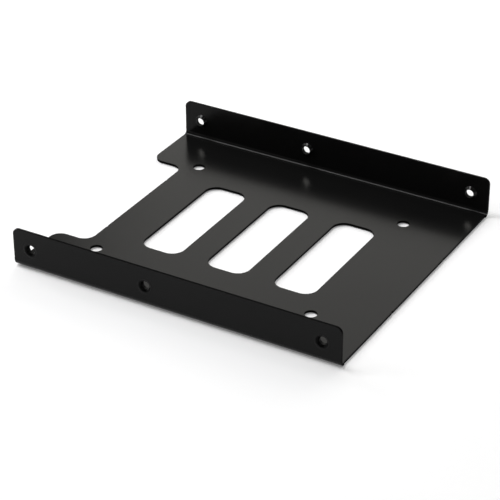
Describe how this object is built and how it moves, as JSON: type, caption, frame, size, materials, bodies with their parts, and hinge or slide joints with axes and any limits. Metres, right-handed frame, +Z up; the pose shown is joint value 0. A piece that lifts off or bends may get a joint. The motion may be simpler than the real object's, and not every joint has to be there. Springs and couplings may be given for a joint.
{
  "type": "drive bay adapter bracket",
  "caption": "Tray folded from one steel sheet that holds a small drive in a wider bay: slotted, notched plate between two low flanges with tapped screw holes.",
  "frame": {"origin": "middle of the bracket's outline, on the underside of the plate", "axes": "+X along the folds, away from the notched edge; +Y across the plate, from one flange to the other; +Z up, from the underside of the plate to the open side between the flanges"},
  "size_m": [0.1142, 0.1016, 0.0133],
  "materials": {
    "black_paint": "satin"
  },
  "bodies": {
    "root": {"bracket": "black_paint"}
  },
  "joints": []
}
